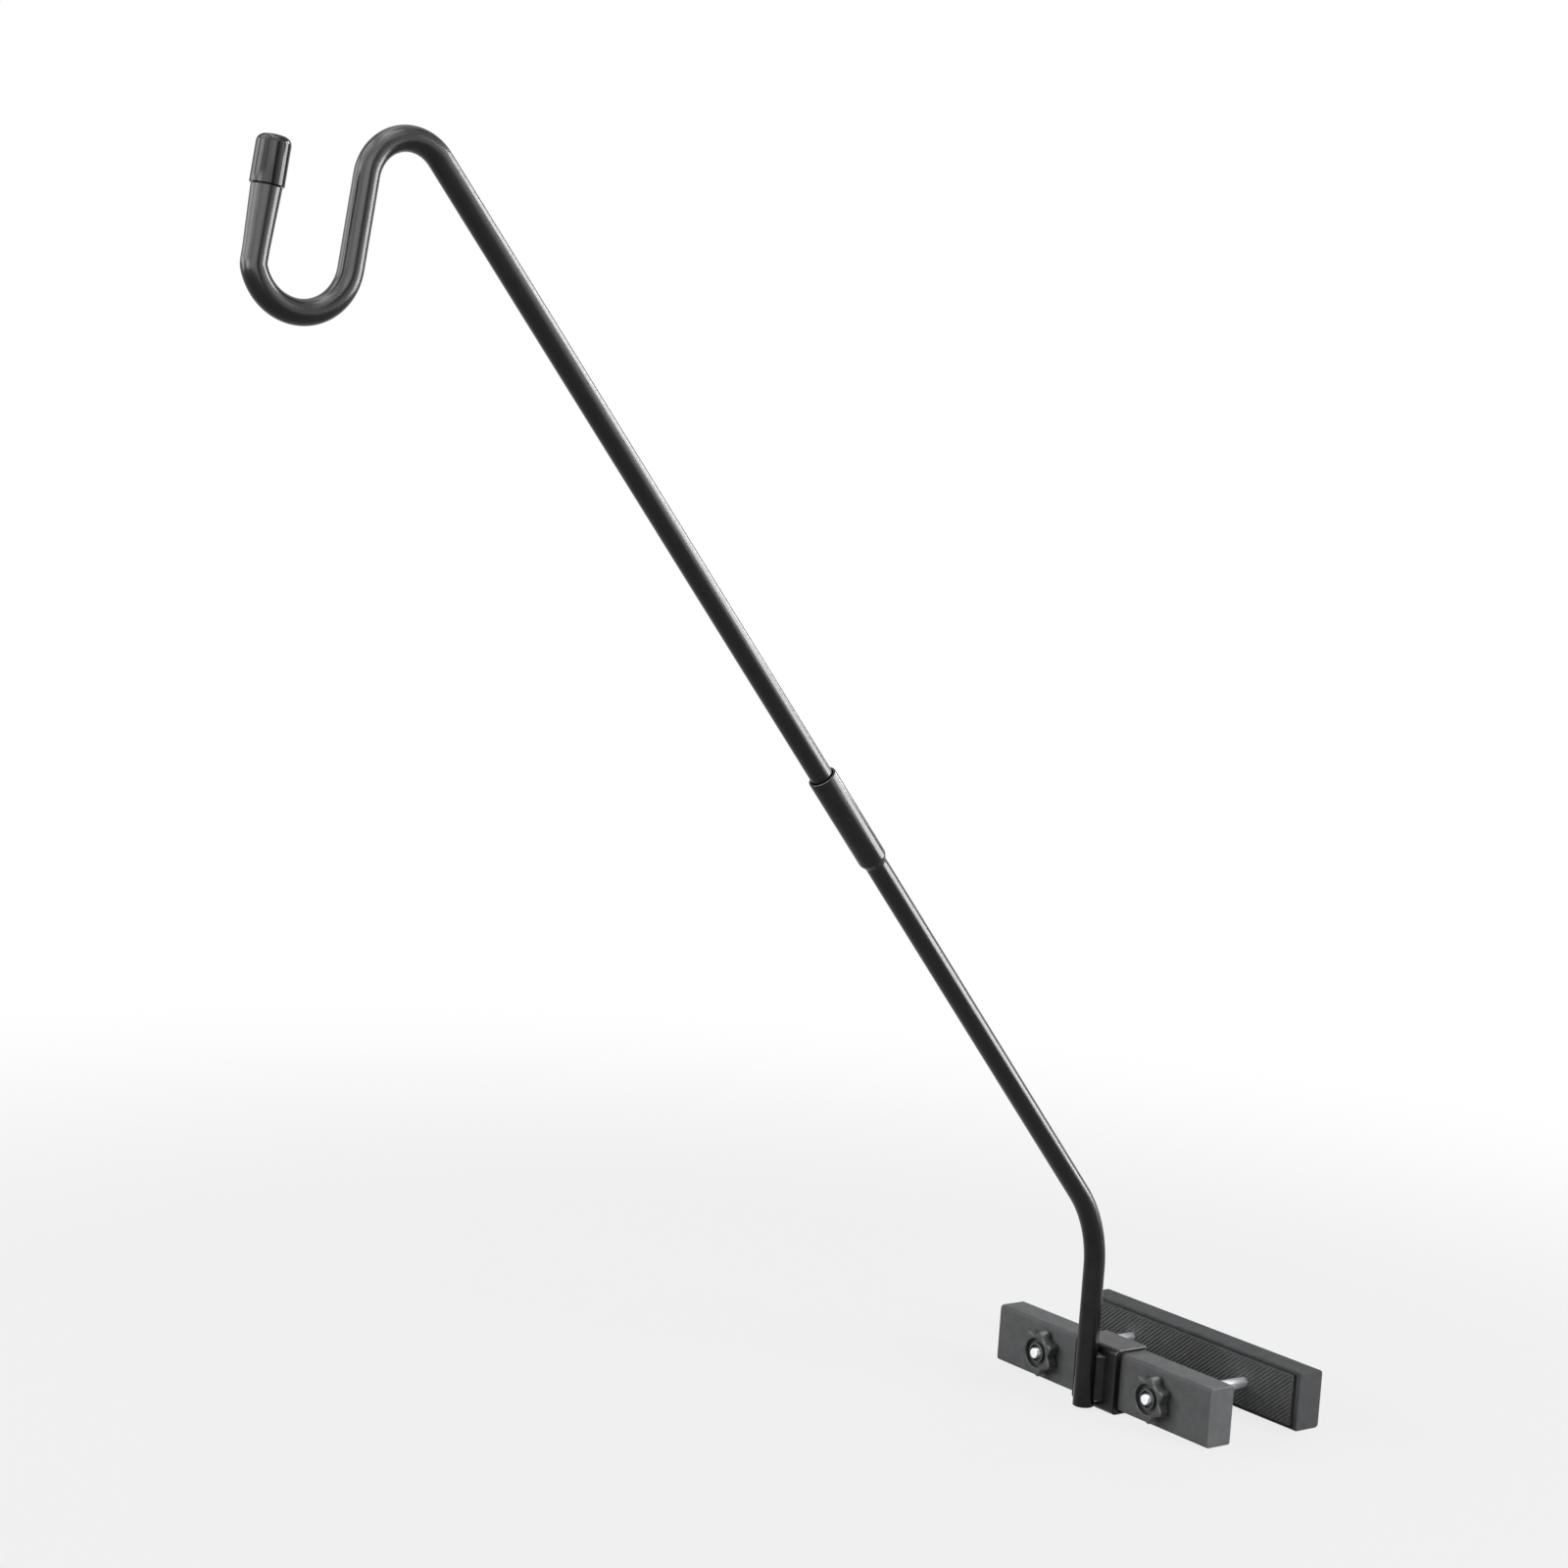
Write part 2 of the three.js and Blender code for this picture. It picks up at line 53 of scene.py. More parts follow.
# The photograph's camera, fitted to the corners of both jaws
IMAGE_PX = 1600
FOCAL_PX = 3095.7
SENSOR_MM = 36
CAMERA_AZIMUTH = 53.24
CAMERA_ELEVATION = 6.22
CAMERA_ROLL = 3.90
CAMERA_DISTANCE = 1.7066
ANCHOR_PX = (1121.7, 1402.0)  # where the middle of the front bar's face lies

# The pole's bending schedule, as the solids have it
POLE_RADIUS = 6 * MM
POLE_WALL = 1.5 * MM
FOOT_RUN = 79.3 * MM
LEAN_ANGLE = 40.4
LEAN_RADIUS = 69 * MM
SLOPE_RUN = 675.9 * MM
CREST_TURN = 132.2
CREST_RADIUS = 20.9 * MM
LEG_RUN = 42 * MM
HOOK_TURN = 155.8
HOOK_RADIUS = 24.1 * MM
HOOK_END_TURN = 24.3
HOOK_END_RADIUS = 8 * MM
TIP_RUN = 53.5 * MM
TIP_FLARE_RADIUS = 7 * MM
TIP_FLARE_LENGTH = 27 * MM
TIP_FLARE_GAP = 0.2 * MM  # below the cap's rim
TUBE_END_ROUND = 0.35 * MM

# The socket at the lower pole's upper end
SOCKET_START = 246 * MM  # along the slope
SOCKET_LENGTH = 60.3 * MM
SOCKET_TAPER = 5 * MM
SOCKET_RADIUS = 7.6 * MM
SOCKET_MOUTH_ROUND = 0.7 * MM
UPPER_POLE_DEPTH = 50 * MM
CLEARANCE = 0.3 * MM

# Tip cap
CAP_RADIUS = 7.8 * MM
CAP_LENGTH = 22.3 * MM
CAP_TOP = 1.7 * MM  # above the end of the tube
CAP_SHOULDER = 3.6 * MM
CAP_CROWN = 0.5 * MM
CAP_RIM_ROUND = 0.45 * MM
CAP_TOP_WALL = 1.5 * MM

# Knobs
KNOB_LOBES = 7
KNOB_VALLEY_SHARE = 0.77  # of the lobes' radius
KNOB_LOBE_POWER = 1.3
KNOB_EDGE_ROUND = 0.7 * MM
KNOB_CUP_RADIUS = 8.5 * MM
KNOB_CUP_DEPTH = 3.2 * MM
KNOB_HUB_RADIUS = 5.7 * MM
KNOB_HUB_SETBACK = 0.4 * MM
KNOB_SMALL_ROUND = 0.25 * MM
POCKET_GAP = 0.2 * MM
INSERT_EDGE = 0.25 * MM

# Bolts and washers
SHANK_RADIUS = 3 * MM
THREAD_PITCH = 1 * MM
THREAD_DEPTH = 0.22 * MM
THREAD_LENGTH = 56 * MM
THREAD_FLANK_POWER = 0.8
BOLT_END_BEVEL = 0.35 * MM
BOLT_HEAD_HEIGHT = 3 * MM
BOLT_HEAD_EDGE = 0.5 * MM
BOLT_NECK_LENGTH = 3.6 * MM
WASHER_EDGE = 0.15 * MM

# Ribs on the pads
RIB_PITCH = 2.0 * MM
RIB_ANGLE = 40.0
RIB_LAND = 0.75 * MM
RIB_FLANK = 0.2 * MM
RIB_DEPTH = 0.55 * MM
RIB_MARGIN = 0.35 * MM

# The bent plate behind the pole
SADDLE_THICKNESS = 2 * MM
SADDLE_BEND = 3.2 * MM
SADDLE_EDGE_ROUND = 0.8 * MM

# The weld beads between the pole and the plate
BEAD_START_ANGLE = 24.0
BEAD_END_ANGLE = 68.0
BEAD_BULGE = 0.3 * MM
BEAD_RIPPLE = 1.7 * MM
BEAD_RIPPLE_DEPTH = 0.15
BEAD_STEP = 0.2 * MM
BEAD_END_FADE = 2 * MM

# Rounding of the moulded bars
BAR_EDGE_ROUND = 0.35 * MM

# Mesh detail
TUBE_SIDES = 64
ROUND_SIDES = 72
BEND_STEP = 3.0
RUN_STEP = 24 * MM
ROUND_STEPS = 5
KNOB_SIDES = 24 * KNOB_LOBES
THREAD_SIDES = 36
THREAD_STEPS = 6  # for each turn
SHARP_ANGLE = math.radians(38)
FLAT_ANGLE = math.radians(1.5)
BEVEL_ANGLE = math.radians(35)
WELD_DISTANCE = 0.004 * MM

# Material noise
NOISE_RANGE = (0.3, 0.7)
MOTTLE_DETAIL = 3

# From screen levels to linear ones
SRGB_TOE = 0.04045
SRGB_TOE_SLOPE = 12.92
SRGB_OFFSET = 0.055
SRGB_POWER = 2.4
BYTE_MAX = 255

# Studio
FLOOR_RADIUS = 4.0
FLOOR_FADE = (0.5, 1.3)  # the floor turns into plain background between these distances
FLOOR_GLOW = 0.8  # its share of plain background near the object
FLOOR_COLOUR = (0.6, 0.6, 0.6)
FLOOR_ROUGHNESS = 0.9
AMBIENT = 0.15  # the world's strength for all but camera, glossy and transmission rays
STUDIO_CENTRE = Vector((0, -0.25, 0.3))
LIGHT_DISTANCE = 2.2

# Reflector cards, which show in glossy surfaces only. Their strengths were fitted to the bands
# of light along the tube in the photograph. For each row: the elevation, width and height, and
# then the azimuth and radiance of each card.
CARD_HEIGHT = 0.855
WIDE_CARD = 0.776
NARROW_CARD = 0.385
TOP_CARD = 1.016
LOW_WIDE = ((-30, 10.7), (-10, 2.0), (10, 16.6), (30, 7.4), (50, 7.0), (70, 5.9), (110, 2.4))
LOW_NARROW = ((125, 6.1), (135, 2.4), (145, 33.9), (155, 15.0), (165, 27.9))
MIDDLE_WIDE = ((-30, 2.8), (-10, 9.2), (10, 4.9), (30, 3.9), (50, 7.3), (70, 8.1), (110, 2.2))
MIDDLE_NARROW = ((125, 6.5), (135, 4.8), (155, 27.3), (165, 21.4), (185, 30.7))
HIGH = ((-30, 7.5), (0, 7.4), (30, 4.7), (60, 5.0), (90, 5.3), (120, 1.8), (150, 1.4))
TOP = ((-60, 3.2), (0, 4.2), (60, 9.5), (120, 1.7), (240, 1.2))
CARD_ROWS = (
    (4, WIDE_CARD, CARD_HEIGHT, LOW_WIDE),
    (4, NARROW_CARD, CARD_HEIGHT, LOW_NARROW),
    (26, WIDE_CARD, CARD_HEIGHT, MIDDLE_WIDE),
    (26, NARROW_CARD, CARD_HEIGHT, MIDDLE_NARROW),
    (48, CARD_HEIGHT, CARD_HEIGHT, HIGH),
    (72, TOP_CARD, TOP_CARD, TOP),
)
# Soft lamps, and fill lamps that leave no highlight: azimuth, elevation and radiance.
LAMPS = ((-45, 20, 5.6), (-10, 20, 4.8))
FILLS = ((118, 12, 11.5), (200, 8, 4.5))
LAMP_SIZE = 0.9
STRONG_CARD = 20  # cards above this radiance are kept off bright metal, which they burn out


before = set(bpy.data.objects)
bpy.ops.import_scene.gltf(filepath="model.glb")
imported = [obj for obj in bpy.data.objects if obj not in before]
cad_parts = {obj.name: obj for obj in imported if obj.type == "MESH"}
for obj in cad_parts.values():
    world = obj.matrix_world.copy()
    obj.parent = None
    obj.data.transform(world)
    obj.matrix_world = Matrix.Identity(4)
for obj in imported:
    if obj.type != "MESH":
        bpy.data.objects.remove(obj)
cad_low, cad_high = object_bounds()


# Meshes


def object_from(name, mesh, body, replaced):
    """Puts a finished mesh in the scene in place of its CAD nodes."""
    mesh.shade_smooth()
    mesh.set_sharp_from_angle(angle=SHARP_ANGLE)
    obj = bpy.data.objects.new(name, mesh)
    bpy.context.scene.collection.objects.link(obj)
    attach(obj, body)
    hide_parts(*replaced)
    return obj


def skin(name, rings, closed=False):
    """A mesh over rings of points, joined back to the first ring where it is closed."""
    rings = np.asarray(rings)
    count, sides = rings.shape[:2]
    index = np.arange(count * sides).reshape(count, sides)
    following = np.roll(index, -1, axis=1)
    faces = [
        (int(index[i, k]), int(following[i, k]), int(following[j, k]), int(index[j, k]))
        for i, j in ((i, (i + 1) % count) for i in range(count if closed else count - 1))
        for k in range(sides)
    ]
    if not closed:
        faces += [tuple(map(int, index[0])), tuple(map(int, index[-1]))]
    mesh = bpy.data.meshes.new(name)
    mesh.from_pydata(rings.reshape(-1, 3).tolist(), [], faces)
    made = bmesh.new()
    made.from_mesh(mesh)
    bmesh.ops.recalc_face_normals(made, faces=made.faces)
    made.to_mesh(mesh)
    made.free()
    return mesh


def ring(centre, across, up, radii, sides):
    """Points round a centre in the plane of two unit vectors, at one radius or one each."""
    turn = np.linspace(0, 2 * math.pi, sides, endpoint=False)
    circle = np.outer(np.cos(turn), across) + np.outer(np.sin(turn), up)
    return np.asarray(centre) + circle * np.broadcast_to(radii, sides)[:, None]


def turned_rings(centre, axis, profile, sides):
    """Rings round an axis, from (radius, height along the axis) pairs."""
    axis = np.asarray(axis, float)
    across = np.array([1.0, 0.0, 0.0])
    up = np.cross(axis, across)
    return [
        ring(np.asarray(centre) + axis * height, across, up, radius, sides)
        for radius, height in profile
    ]


def quarter(radius, height, size, start):
    """A quarter round about (radius, height), counted from an angle above outwards."""
    angles = np.radians(np.linspace(start, start + 90, ROUND_STEPS))
    return [(radius + size * math.cos(a), height + size * math.sin(a)) for a in angles]


def flatten(made):
    """Welds a triangulated mesh and joins its coplanar triangles."""
    bmesh.ops.remove_doubles(made, verts=made.verts, dist=WELD_DISTANCE)
    bmesh.ops.dissolve_limit(
        made, angle_limit=FLAT_ANGLE, verts=made.verts, edges=made.edges
    )


def refined(name, node, body, edge_round):
    """A copy of a CAD node with its facets joined into faces and its edges rounded."""
    made = bmesh.new()
    made.from_mesh(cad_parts[node].data)
    flatten(made)
    edges = [e for e in made.edges if e.is_manifold and e.calc_face_angle(0) > BEVEL_ANGLE]
    bmesh.ops.bevel(
        made,
        geom=edges,
        offset=edge_round,
        segments=2,
        profile=0.5,
        affect="EDGES",
        clamp_overlap=True,
    )
    mesh = bpy.data.meshes.new(name)
    made.to_mesh(mesh)
    made.free()
    obj = object_from(name, mesh, body, [node])
    even_normals(obj)
    return obj


def even_normals(obj):
    """Keeps the shading of flat faces flat beside their rounded edges."""
    weighted = obj.modifiers.new("even_normals", "WEIGHTED_NORMAL")
    weighted.keep_sharp = True


# The pole


class Pole:
    """The pole's centreline in the plane x = 0, by distance from its foot."""

    def __init__(self):
        low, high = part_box("lower_pole")
        self.radius = POLE_RADIUS
        self.bends = [
            (FOOT_RUN, 0, 0),
            (0, LEAN_ANGLE, LEAN_RADIUS),
            (SLOPE_RUN, 0, 0),
            (0, CREST_TURN, CREST_RADIUS),
            (LEG_RUN, 0, 0),
            (0, -HOOK_TURN, HOOK_RADIUS),
            (0, -HOOK_END_TURN, HOOK_END_RADIUS),
            (TIP_RUN, 0, 0),
        ]
        self.start = (high.y - self.radius, low.z)
        self.lengths = [run or math.radians(abs(turn)) * r for run, turn, r in self.bends]
        self.mouth = sum(self.lengths[:2]) + SOCKET_START + SOCKET_LENGTH
        self.end = sum(self.lengths)

    def at(self, distance):
        """The point and the heading, in degrees from +Y towards +Z, at a distance."""
        y, z = self.start
        heading = 90.0
        for (run, turn, radius), length in zip(self.bends, self.lengths):
            part = min(distance, length)
            swept = turn * part / length
            half = math.radians(swept) / 2
            chord = part if run else 2 * radius * math.sin(abs(half))
            y += chord * math.cos(math.radians(heading) + half)
            z += chord * math.sin(math.radians(heading) + half)
            heading += swept
            distance -= part
            if distance <= 0:
                break
        return np.array([0.0, y, z]), heading

    def between(self, first, last):
        """The distances inside a stretch at which its skin has rings, close together on bends."""
        places = []
        begun = 0.0
        for (run, turn, _), length in zip(self.bends, self.lengths):
            count = math.ceil(length / RUN_STEP if run else abs(turn) / BEND_STEP)
            places += [begun + length * i / count for i in range(count)]
            begun += length
        return [p for p in places if first + TUBE_END_ROUND < p < last - TUBE_END_ROUND]

    def tube(self, name, profile):
        """A closed skin along the centreline, from (distance, radius) pairs."""
        rings = []
        for distance, radius in profile:
            point, heading = self.at(distance)
            angle = math.radians(heading)
            normal = np.array([0.0, -math.sin(angle), math.cos(angle)])
            rings.append(ring(point, np.array([1.0, 0.0, 0.0]), normal, radius, TUBE_SIDES))
        return skin(name, rings, closed=True)

    def end_round(self, distance, way):
        """The rounded outer edge of an end, way being 1 where the tube goes on beyond it."""
        size = TUBE_END_ROUND
        start = distance + way * size
        points = [(start - way * h, r) for r, h in quarter(self.radius - size, 0, size, 0)]
        return points[::-way]


def swell(first, last, small, large):
    """A smooth step from one radius to another."""
    shares = np.linspace(0, 1, 2 * ROUND_STEPS)
    return [
        (first + (last - first) * s, small + (large - small) * s * s * (3 - 2 * s))
        for s in shares
    ]


def make_lower_pole(pole):
    bore = pole.radius - POLE_WALL
    socket_bore = pole.radius + CLEARANCE
    taper = pole.mouth - SOCKET_LENGTH
    shoulder = pole.mouth - UPPER_POLE_DEPTH - CLEARANCE
    lip = pole.mouth - SOCKET_MOUTH_ROUND
    lip_round = quarter(SOCKET_RADIUS - SOCKET_MOUTH_ROUND, 0, SOCKET_MOUTH_ROUND, 0)
    profile = [
        *pole.end_round(0, 1),
        *((d, pole.radius) for d in pole.between(0, taper)),
        *swell(taper, taper + SOCKET_TAPER, pole.radius, SOCKET_RADIUS),
        *((lip + h, r) for r, h in lip_round),
        (pole.mouth - CLEARANCE, socket_bore),
        (shoulder, socket_bore),
        (shoulder - SOCKET_TAPER, bore),
        *((d, bore) for d in reversed(pole.between(0, shoulder - SOCKET_TAPER))),
        (0, bore),
    ]
    mesh = pole.tube("lower_pole_tube", profile)
    return object_from("lower_pole_tube", mesh, "front_jaw", ["lower_pole"])


def make_upper_pole(pole):
    first = pole.mouth - UPPER_POLE_DEPTH
    bore = pole.radius - POLE_WALL
    rim = pole.end + CAP_TOP - CAP_LENGTH - TIP_FLARE_GAP
    flare = rim - TIP_FLARE_LENGTH
    edge = TUBE_END_ROUND
    flare_round = quarter(TIP_FLARE_RADIUS - edge, -edge, edge, 0)
    profile = [
        *pole.end_round(first, 1),
        *((d, pole.radius) for d in pole.between(first, flare)),
        (flare, pole.radius),
        (rim - TUBE_END_ROUND, TIP_FLARE_RADIUS),
        *((rim + h, r) for r, h in flare_round),
        (rim, pole.radius),
        *pole.end_round(pole.end, -1),
        (pole.end, bore),
        *((d, bore) for d in reversed(pole.between(first, pole.end))),
        (first, bore),
    ]
    mesh = pole.tube("upper_pole_tube", profile)
    return object_from("upper_pole_tube", mesh, "hook", ["upper_pole"])


def make_tip_cap(pole):
    """The cap over the tip: a rounded rim, a straight wall and a softly crowned top."""
    point, heading = pole.at(pole.end)
    angle = math.radians(heading)
    axis = np.array([0.0, math.cos(angle), math.sin(angle)])
    bore = pole.radius + CLEARANCE
    rim = CAP_TOP - CAP_LENGTH
    ceiling = CAP_TOP - CAP_TOP_WALL
    flat = CAP_RADIUS - CAP_SHOULDER
    crown = [
        (flat * (1 - share), CAP_TOP - CAP_CROWN * (1 - share) ** 2)
        for share in np.linspace(0, 1, ROUND_STEPS, endpoint=False)[1:]
    ]
    profile = [
        (bore / ROUND_STEPS, ceiling),
        (bore, ceiling),
        (bore, rim + CAP_RIM_ROUND / 2),
        *quarter(CAP_RADIUS - CAP_RIM_ROUND, rim + CAP_RIM_ROUND, CAP_RIM_ROUND, -90),
        *quarter(flat, CAP_TOP - CAP_CROWN - CAP_SHOULDER, CAP_SHOULDER, 0),
        *crown,
    ]
    mesh = skin("hook_cap", turned_rings(point, axis, profile, ROUND_SIDES))
    return object_from("hook_cap", mesh, "hook", ["tip_cap"])


# The clamp's hardware


def middle(node):
    low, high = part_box(node)
    return (low + high) / 2


def make_knob(side):
    """A lobed knob with a cup in its face and a hub round the bolt."""
    node = f"{side}_knob"
    low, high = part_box(node)
    insert_low, insert_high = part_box(f"{side}_insert")
    centre = middle(f"{side}_insert")
    lobe_radius = centre.x - low.x  # one lobe points along -X
    turn = np.linspace(0, 2 * math.pi, KNOB_SIDES, endpoint=False)
    lobes = ((1 - np.cos(KNOB_LOBES * turn)) / 2) ** KNOB_LOBE_POWER
    outline = lobe_radius * (KNOB_VALLEY_SHARE + (1 - KNOB_VALLEY_SHARE) * lobes)
    height = high.y - low.y
    edge, small = KNOB_EDGE_ROUND, KNOB_SMALL_ROUND
    hub = height - KNOB_HUB_SETBACK
    pocket = (insert_high.x - insert_low.x) / 2 + POCKET_GAP
    pocket_floor = high.y - insert_high.y - POCKET_GAP
    profile = [
        *quarter(outline - edge, edge, edge, -90),
        *quarter(outline - edge, height - edge, edge, 0),
        *quarter(KNOB_CUP_RADIUS + small, height - small, small, 90),
        (KNOB_CUP_RADIUS, height - KNOB_CUP_DEPTH),
        (KNOB_HUB_RADIUS, height - KNOB_CUP_DEPTH),
        *quarter(KNOB_HUB_RADIUS - small, hub - small, small, 0),
        (pocket, hub),
        (pocket, pocket_floor),
        (SHANK_RADIUS + CLEARANCE, pocket_floor),
        (SHANK_RADIUS + CLEARANCE, 0),
    ]
    rings = turned_rings((centre.x, high.y, centre.z), (0, -1, 0), profile, KNOB_SIDES)
    mesh = skin(f"{side}_star_knob", rings, closed=True)
    return object_from(f"{side}_star_knob", mesh, f"{side}_knob", [node])


def make_ring(name, node, body, edge):
    """A plain ring such as a washer or a threaded insert, with its edges broken."""
    low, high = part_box(node)
    outer = (high.x - low.x) / 2
    inner = SHANK_RADIUS + CLEARANCE
    thickness = high.y - low.y
    profile = [
        *quarter(inner + edge, edge, edge, 180),
        *quarter(outer - edge, edge, edge, -90),
        *quarter(outer - edge, thickness - edge, edge, 0),
        *quarter(inner + edge, thickness - edge, edge, 90),
    ]
    centre = middle(node)
    rings = turned_rings((centre.x, low.y, centre.z), (0, 1, 0), profile, ROUND_SIDES)
    return object_from(name, skin(name, rings, closed=True), body, [node])


def thread(length):
    """(radii, height) pairs of a right-hand thread that runs in from a bolt's end."""
    turn = np.linspace(0, 1, THREAD_SIDES, endpoint=False)
    heights = np.linspace(0, length, round(length / THREAD_PITCH * THREAD_STEPS) + 1)
    pairs = []
    for height in heights:
        phase = (height / THREAD_PITCH - turn) % 1
        cut = THREAD_DEPTH * (1 - np.abs(2 * phase - 1)) ** THREAD_FLANK_POWER
        run_out = min(1, (length - height) / THREAD_PITCH)
        bevel = max(0, BOLT_END_BEVEL - height)
        radii = np.minimum(SHANK_RADIUS - cut * run_out, SHANK_RADIUS - bevel)
        pairs.append((radii, height))
    return pairs


def make_bolt(side):
    """A clamp bolt: threaded end, plain shank, square neck and domed head."""
    node = f"{side}_bolt"
    low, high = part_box(node)
    head_radius = (high.x - low.x) / 2
    under = high.y - low.y - BOLT_HEAD_HEIGHT
    rise = BOLT_HEAD_HEIGHT - BOLT_HEAD_EDGE
    turn = np.linspace(0, 2 * math.pi, THREAD_SIDES, endpoint=False)
    square = SHANK_RADIUS / np.maximum(np.abs(np.cos(turn)), np.abs(np.sin(turn)))
    angles = np.linspace(0, math.pi / 2, 2 * ROUND_STEPS, endpoint=False)
    dome = [
        (head_radius * math.cos(a), under + BOLT_HEAD_EDGE + rise * math.sin(a)) for a in angles
    ]
    profile = [
        (SHANK_RADIUS / 2, 0),
        *thread(THREAD_LENGTH),
        (SHANK_RADIUS, under - BOLT_NECK_LENGTH - SHANK_RADIUS / 3),
        (square, under - BOLT_NECK_LENGTH),
        (square, under),
        (head_radius, under),
        *dome,
    ]
    centre = middle(node)
    rings = turned_rings((centre.x, low.y, centre.z), (0, 1, 0), profile, THREAD_SIDES)
    mesh = skin(f"{side}_clamp_bolt", rings)
    return object_from(f"{side}_clamp_bolt", mesh, "rear_jaw", [node])


# Pads with slanted ribs


def make_pad(name, node, body, facing):
    """A pad with ribs in its clamping face, which looks along facing times Y."""
    made = bmesh.new()
    made.from_mesh(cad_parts[node].data)
    flatten(made)
    low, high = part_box(node)
    face_y = high.y if facing > 0 else low.y
    face = [f for f in made.faces if lies_on(f, face_y)]
    bmesh.ops.inset_region(made, faces=face, thickness=RIB_MARGIN, use_even_offset=True)
    bmesh.ops.triangulate(made, faces=[f for f in made.faces if lies_on(f, face_y)])
    angle = math.radians(RIB_ANGLE)
    across = Vector((-math.sin(angle), 0, math.cos(angle)))
    reach = high.x * math.sin(angle) + (high.z - low.z) / 2 * math.cos(angle)
    last = math.ceil(reach / RIB_PITCH)
    edges_of_rib = (0, RIB_LAND, RIB_LAND + RIB_FLANK, RIB_PITCH - RIB_FLANK)
    for place in (n * RIB_PITCH + edge for n in range(-last, last) for edge in edges_of_rib):
        face = [f for f in made.faces if lies_on(f, face_y)]
        bmesh.ops.bisect_plane(
            made,
            geom=list({part for f in face for part in (f, *f.edges, *f.verts)}),
            plane_co=across * place + Vector((0, face_y, 0)),
            plane_no=across,
        )
    inner = [v for v in made.verts if all(lies_on(f, face_y) for f in v.link_faces)]
    depths = [groove_depth(v.co.dot(across)) for v in inner]
    for vertex, depth in zip(inner, depths):
        vertex.co.y -= facing * depth
    mesh = bpy.data.meshes.new(name)
    made.to_mesh(mesh)
    made.free()
    return object_from(name, mesh, body, [node])


def lies_on(face, y):
    return all(abs(v.co.y - y) < WELD_DISTANCE for v in face.verts)


def groove_depth(place):
    """How deep the face lies at a place across the ribs."""
    along = place % RIB_PITCH
    share = min((along - RIB_LAND) / RIB_FLANK, (RIB_PITCH - along) / RIB_FLANK)
    return RIB_DEPTH * min(1, max(0, share))


# The saddle and its welds


def make_saddle():
    """The bent plate over the front bar, with rounded bends and broken edges."""
    low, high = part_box("saddle")
    bar_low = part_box("front_bar")[0]
    inner = high.z - SADDLE_THICKNESS
    bend = SADDLE_BEND
    inner_bend = bend / 3
    bend_y, bend_z = low.y + bend, high.z - bend
    top = [(high.y, inner), (high.y, high.z)]
    top += [
        (bend_y - bend * math.sin(a), bend_z + bend * math.cos(a)) for a in bend_angles()
    ]
    web_y = bar_low.y + inner_bend
    inside = [
        (web_y - inner_bend * math.sin(a), inner - inner_bend + inner_bend * math.cos(a))
        for a in bend_angles()
    ]
    upper = [*inside[::-1], *top]
    outline = [*upper, *((y, -z) for y, z in reversed(upper))]
    edge = SADDLE_EDGE_ROUND
    stations = [(high.x - edge + r, edge - h) for h, r in quarter(0, 0, edge, 0)]
    rings = [outline_ring(outline, -x, inset) for x, inset in reversed(stations)]
    rings += [outline_ring(outline, x, inset) for x, inset in stations]
    mesh = skin("saddle_plate", rings)
    obj = object_from("saddle_plate", mesh, "front_jaw", ["saddle"])
    even_normals(obj)
    return obj


def bend_angles():
    return np.radians(np.linspace(0, 90, 2 * ROUND_STEPS))


def outline_ring(outline, x, inset):
    """An outline in (y, z), drawn in by an inset, at a place along X."""
    points = np.array(outline)
    before = points - np.roll(points, 1, axis=0)
    after = np.roll(points, -1, axis=0) - points
    sides = [np.c_[-way[:, 1], way[:, 0]] for way in (before, after)]
    normals = [side / np.linalg.norm(side, axis=1)[:, None] for side in sides]
    miter = normals[0] + normals[1]
    miter /= (miter * normals[0]).sum(axis=1)[:, None]
    return np.c_[np.full(len(points), x), points + inset * miter]


def make_weld_bead(side, sign, pole):
    """A rippled fillet between the foot of the pole and the saddle's face."""
    node = f"{side}_weld_bead"
    low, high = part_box(node)
    foot_y = pole.start[0]
    angles = np.radians(np.linspace(90 - BEAD_START_ANGLE, 90 - BEAD_END_ANGLE, ROUND_STEPS))
    against_pole = [
        np.array([pole.radius * math.cos(a), foot_y + pole.radius * math.sin(a)]) for a in angles
    ]
    tip = against_pole[-1]
    toe = np.array([max(abs(low.x), abs(high.x)), high.y])
    corner = np.array([against_pole[0][0], high.y])
    rings = []
    for z in np.linspace(low.z, high.z, round((high.z - low.z) / BEAD_STEP) + 1):
        from_end = min(z - low.z, high.z - z) + BEAD_STEP / ROUND_STEPS
        share = math.sqrt(min(1, from_end / BEAD_END_FADE))
        ripple = 1 - BEAD_RIPPLE_DEPTH * abs(math.sin(math.pi * z / BEAD_RIPPLE))
        bulge = (tip + toe) / 2 + np.array([1, -1]) * BEAD_BULGE * ripple
        steps = np.linspace(0, 1, ROUND_STEPS)[1:]
        crown = [(1 - t) ** 2 * tip + 2 * t * (1 - t) * bulge + t * t * toe for t in steps]
        outline = [corner + (p - corner) * share for p in [*against_pole, *crown, corner]]
        rings.append([(sign * x, y, z) for x, y in outline])
    mesh = skin(f"{side}_bead", rings)
    return object_from(f"{side}_bead", mesh, "front_jaw", [node])


# Materials


def hex_colour(text):
    """The linear colour of a six-digit screen colour."""
    levels = [level / BYTE_MAX for level in bytes.fromhex(text)]
    linear = [
        v / SRGB_TOE_SLOPE if v <= SRGB_TOE else ((v + SRGB_OFFSET) / (1 + SRGB_OFFSET)) ** SRGB_POWER
        for v in levels
    ]
    return (*linear, 1)


